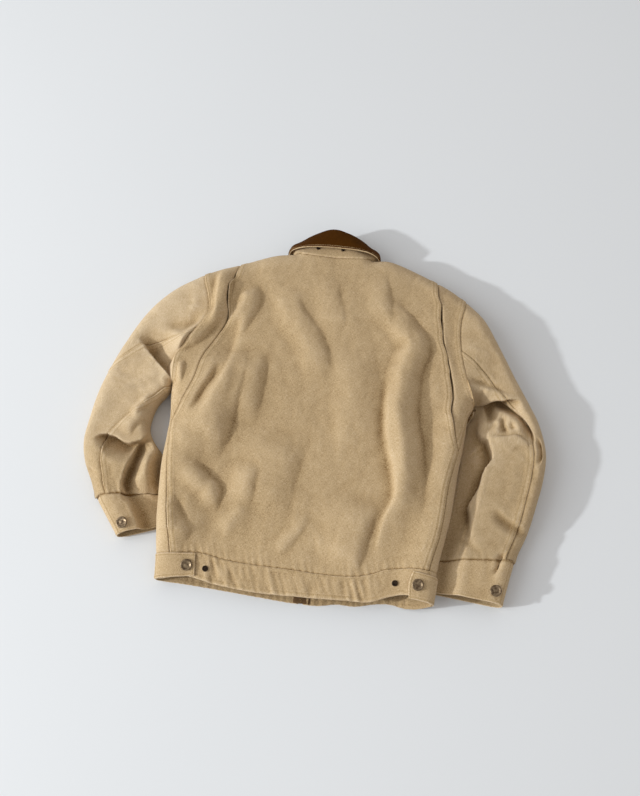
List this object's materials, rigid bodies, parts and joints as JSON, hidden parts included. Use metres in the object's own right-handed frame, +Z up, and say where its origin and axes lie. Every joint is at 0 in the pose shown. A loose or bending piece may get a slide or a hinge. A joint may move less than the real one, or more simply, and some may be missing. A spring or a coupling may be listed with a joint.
{
  "type": "collared work jacket",
  "caption": "Canvas work jacket with a corduroy collar, zipped, lying face down with its back up and both sleeves bent down its sides.",
  "frame": {"origin": "on the surface that the jacket lies on, below the middle of its plan", "axes": "+X to the wearer's right, +Y from hem to collar, +Z up from the surface, out of the back"},
  "size_m": [0.8288, 0.7287, 0.0753],
  "materials": {
    "canvas": "matt washed cotton duck",
    "corduroy": "fine brown corduroy",
    "zip_tape": "woven tape",
    "zip_metal": "dull brass",
    "button_metal": "dull bronze",
    "stud_metal": "dark bronze"
  },
  "bodies": {
    "jacket": {"back_panel": "canvas", "side_back_left": "canvas", "side_back_right": "canvas", "front_left": "canvas", "front_right": "canvas", "sleeve_upper_left": "canvas", "sleeve_upper_right": "canvas", "sleeve_under_left": "canvas", "sleeve_under_right": "canvas", "cuff_left": "canvas", "cuff_right": "canvas", "band_back": "canvas", "band_front_left": "canvas", "band_front_right": "canvas", "tab_left": "canvas", "tab_right": "canvas", "collar_stand": "canvas", "collar_fall": "corduroy", "zip_tape_left": "zip_tape", "zip_tape_right": "zip_tape", "zip_slider": "zip_metal", "button_cuff_left": "button_metal", "button_cuff_right": "button_metal", "button_tab_left": "button_metal", "button_tab_right": "button_metal", "stud_left": "stud_metal", "stud_right": "stud_metal", "hood_snap_left": "stud_metal", "hood_snap_right": "stud_metal"},
    "pull": {"zip_pull": "zip_metal"}
  },
  "joints": [
    {"name": "pull_swing", "type": "hinge", "parent": "jacket", "child": "pull", "pos_m": [-0.00636, 0.2085, 0.0047], "axis": [1, 0, 0], "range_deg": [0, 100]}
  ]
}
